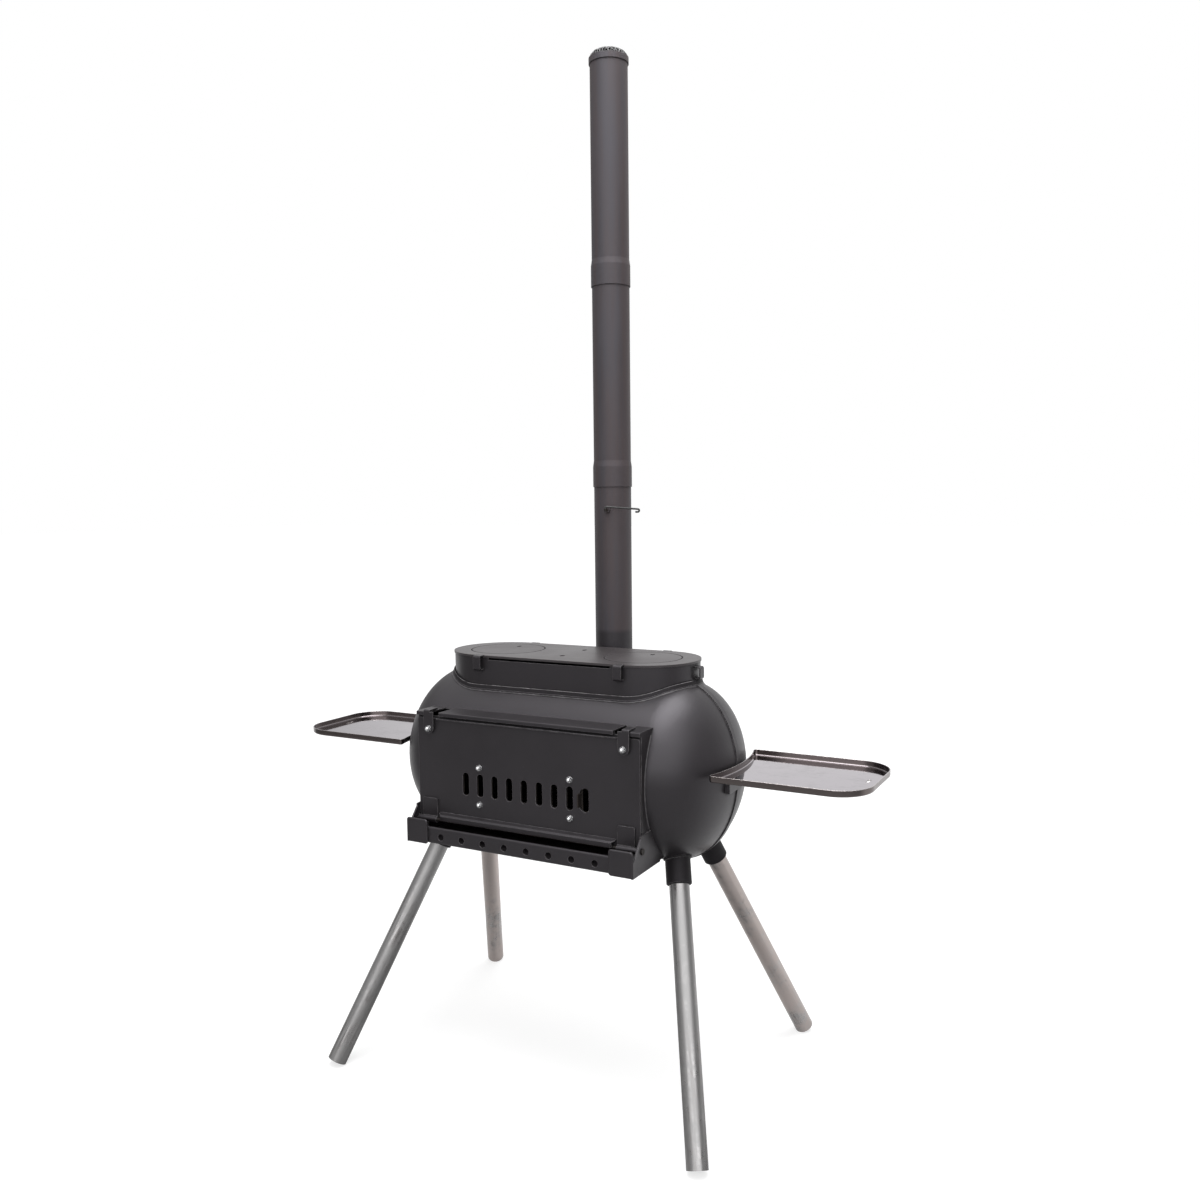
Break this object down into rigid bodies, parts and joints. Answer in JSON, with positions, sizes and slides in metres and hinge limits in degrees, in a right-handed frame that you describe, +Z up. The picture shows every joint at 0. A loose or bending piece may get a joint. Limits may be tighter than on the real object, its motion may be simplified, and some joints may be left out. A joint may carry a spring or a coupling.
{
  "type": "portable wood stove",
  "caption": "Portable barrel wood stove on splayed legs, with a cooktop riser, drop-down door with air slide, side trays and a sectional chimney with damper and spark cap.",
  "frame": {"origin": "on the ground under the middle of the barrel", "axes": "+X to the right, -Y to the door side, +Z up"},
  "size_m": [1.11, 0.5384, 1.8255],
  "materials": {
    "heat_paint": "satin charcoal-black heat-resistant paint",
    "cooktop_paint": "satin black heat-resistant paint, a little burnished",
    "galvanised_tube": "galvanised, streaky",
    "stainless_sheet": "plain stainless sheet",
    "bright_zinc": "bright zinc plate",
    "black_wire": "black-coated wire mesh",
    "raw_steel": "unpainted mild steel, dark from heat"
  },
  "bodies": {
    "stove": {"shell_front": "heat_paint", "shell_rear": "heat_paint", "riser_ring": "heat_paint", "riser_clips": "heat_paint", "door_surround": "heat_paint", "ash_trough": "heat_paint", "cheek_left": "heat_paint", "cheek_right": "heat_paint", "hinge_rod": "raw_steel", "flue_elbow": "heat_paint", "flue_flange": "heat_paint", "chimney_lower": "heat_paint", "chimney_middle": "heat_paint", "chimney_upper": "heat_paint", "damper_bush": "heat_paint", "tray_left": "stainless_sheet", "tray_right": "stainless_sheet", "tray_bracket_left": "heat_paint", "tray_bracket_right": "heat_paint", "tray_bolts": "bright_zinc", "fire_grate": "raw_steel", "grate_rails": "raw_steel", "leg_socket_front_right": "heat_paint", "leg_front_right": "galvanised_tube", "leg_socket_front_left": "heat_paint", "leg_front_left": "galvanised_tube", "leg_socket_rear_right": "heat_paint", "leg_rear_right": "galvanised_tube", "leg_socket_rear_left": "heat_paint", "leg_rear_left": "galvanised_tube"},
    "door": {"door_panel": "heat_paint", "hinge_strap_left": "heat_paint", "hinge_strap_right": "heat_paint", "slide_rails": "raw_steel", "slide_bolts": "bright_zinc", "latch_bolts": "bright_zinc"},
    "latch_left": {"latch_left": "heat_paint"},
    "latch_right": {"latch_right": "heat_paint"},
    "air_slide": {"air_slide": "raw_steel"},
    "damper": {"damper_shaft": "raw_steel", "damper_flap": "raw_steel", "damper_handle": "black_wire"},
    "cooktop": {"cooktop_plate": "cooktop_paint", "seat_rings": "raw_steel"},
    "hotplate_left": {"hotplate_left": "cooktop_paint"},
    "hotplate_right": {"hotplate_right": "cooktop_paint"},
    "spark_cap": {"cap_band": "black_wire", "cap_mesh": "black_wire"}
  },
  "joints": [
    {"name": "door_hinge", "type": "hinge", "parent": "stove", "child": "door", "pos_m": [0, -0.17, 0.4505], "axis": [1, 0, 0], "range_deg": [0, 75.5]},
    {"name": "latch_left_turn", "type": "hinge", "parent": "door", "child": "latch_left", "pos_m": [-0.19, -0.17, 0.6115], "axis": [0, 1, 0], "range_deg": [0, 30]},
    {"name": "latch_right_turn", "type": "hinge", "parent": "door", "child": "latch_right", "pos_m": [0.19, -0.17, 0.6115], "axis": [0, -1, 0], "range_deg": [0, 30]},
    {"name": "air_slide_travel", "type": "slide", "parent": "door", "child": "air_slide", "axis": [1, 0, 0], "range_m": [0, 0.013]},
    {"name": "damper_turn", "type": "hinge", "parent": "stove", "child": "damper", "pos_m": [0, 0.162, 0.986], "axis": [0.1942, -0.981, 0], "range_deg": [0, 90]},
    {"name": "cooktop_lift", "type": "slide", "parent": "stove", "child": "cooktop", "axis": [0, 0, 1], "range_m": [0, 0.06]},
    {"name": "hotplate_left_lift", "type": "slide", "parent": "cooktop", "child": "hotplate_left", "axis": [0, 0, 1], "range_m": [0, 0.06]},
    {"name": "hotplate_right_lift", "type": "slide", "parent": "cooktop", "child": "hotplate_right", "axis": [0, 0, 1], "range_m": [0, 0.06]},
    {"name": "spark_cap_lift", "type": "slide", "parent": "stove", "child": "spark_cap", "axis": [0, 0, 1], "range_m": [0, 0.04]}
  ]
}
